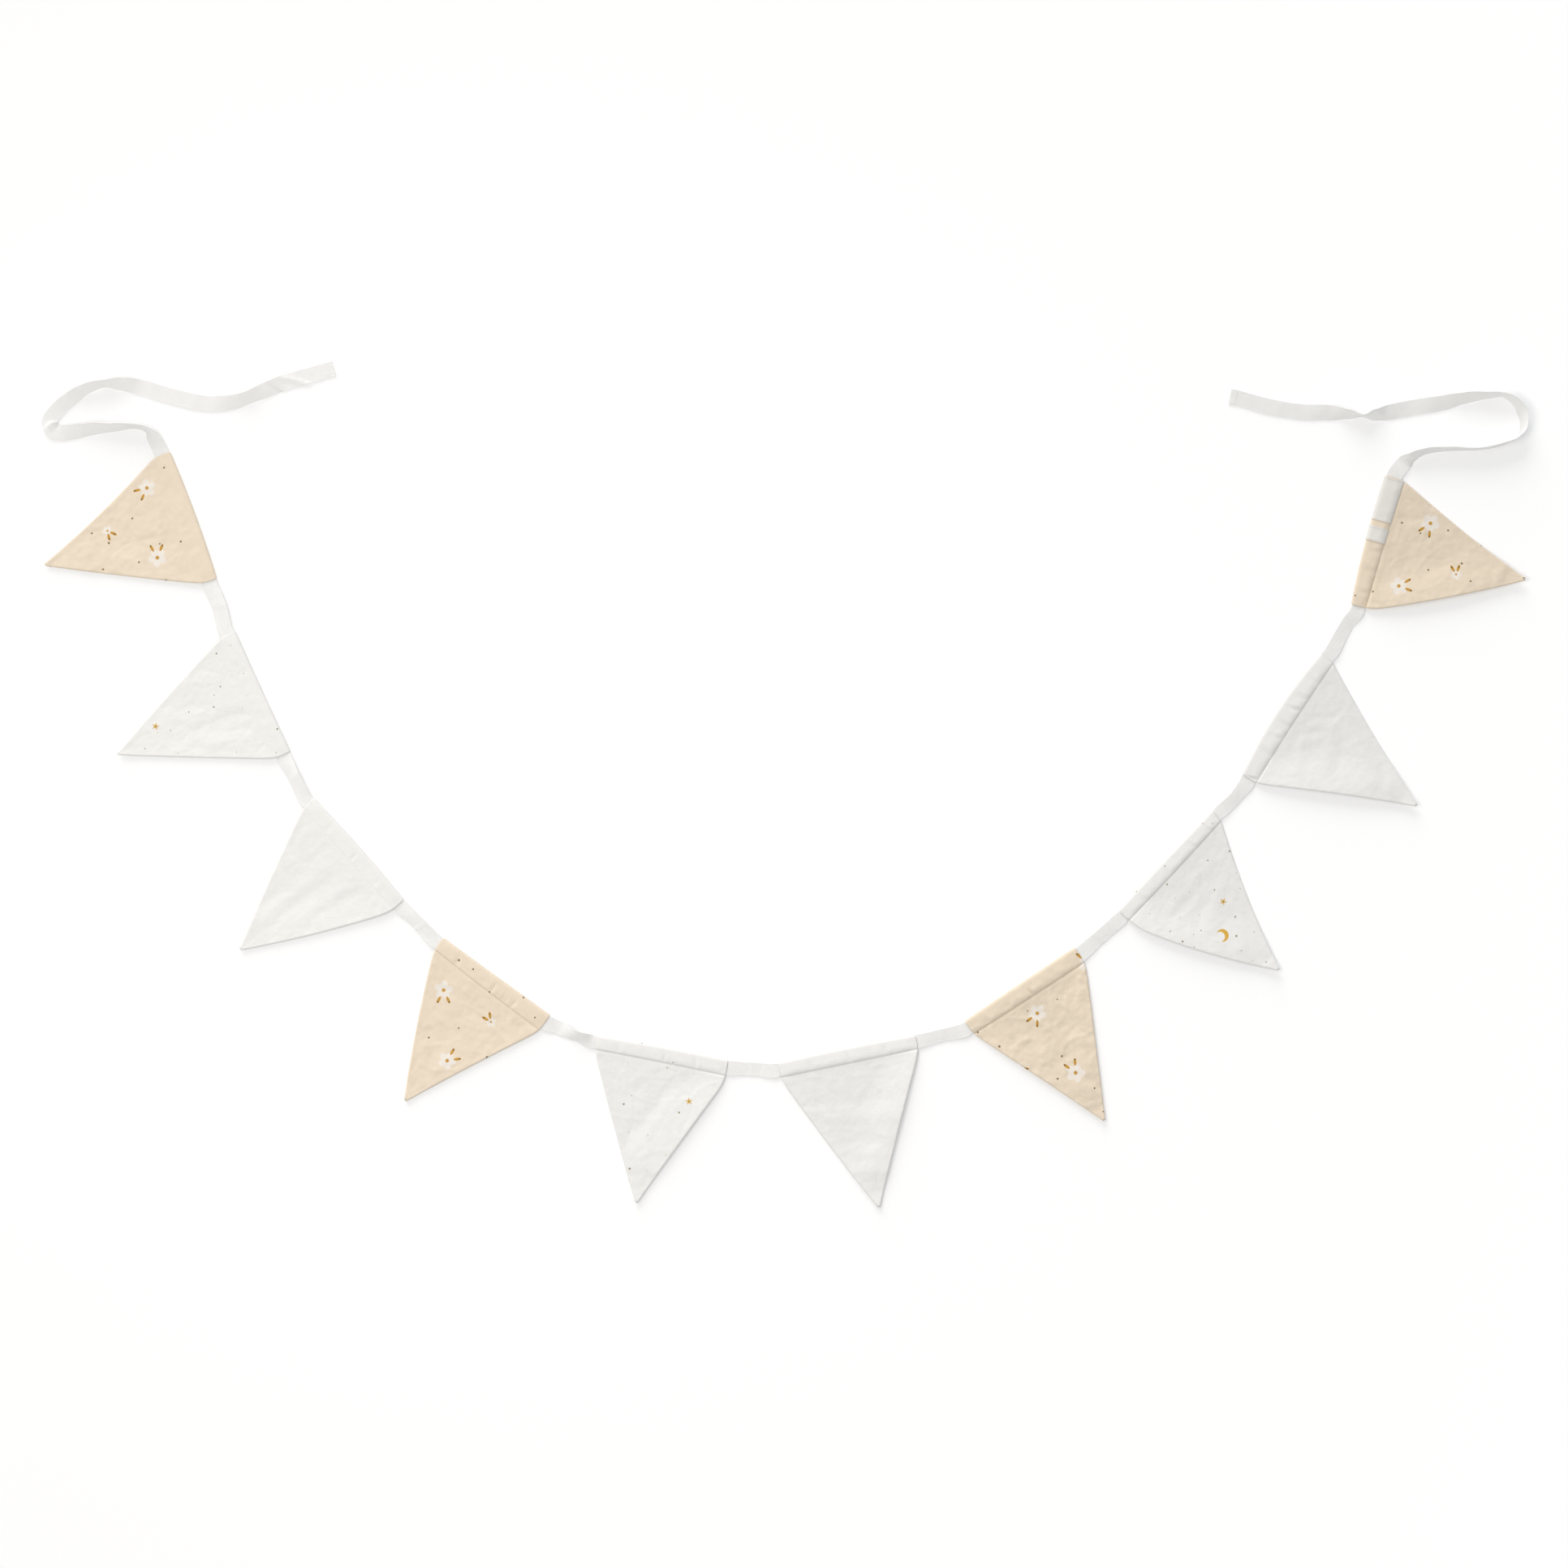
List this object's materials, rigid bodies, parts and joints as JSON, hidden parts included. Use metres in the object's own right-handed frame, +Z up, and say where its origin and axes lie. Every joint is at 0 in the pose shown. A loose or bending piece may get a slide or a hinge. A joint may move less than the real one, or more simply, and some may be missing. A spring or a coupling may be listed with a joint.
{
  "type": "bunting",
  "caption": "String of triangular two-layer muslin flags, each threaded through a sewn casing on one long cotton tape with free tie ends, laid out in a wide U.",
  "frame": {"origin": "on the table, under the middle of the whole laid-out string", "axes": "+X along the string's spread from its first flag to its last, +Y from the bottom of the U towards its open side, +Z up from the table"},
  "size_m": [1.4085, 0.8025, 0.0146],
  "materials": {
    "beige_print": "soft beige muslin with a small scattered print",
    "star_print": "off-white muslin with tiny gold stars and dots",
    "plain_white": "plain off-white muslin",
    "cotton_tape": "flat woven cotton tape",
    "woven_label": "smooth woven label, bare"
  },
  "bodies": {
    "root": {"flag_01": "beige_print", "flag_02": "star_print", "flag_03": "plain_white", "flag_04": "beige_print", "flag_05": "star_print", "flag_06": "plain_white", "flag_07": "beige_print", "flag_08": "star_print", "flag_09": "plain_white", "flag_10": "beige_print", "tape": "cotton_tape", "label_long": "woven_label", "label_short": "woven_label"}
  },
  "joints": []
}
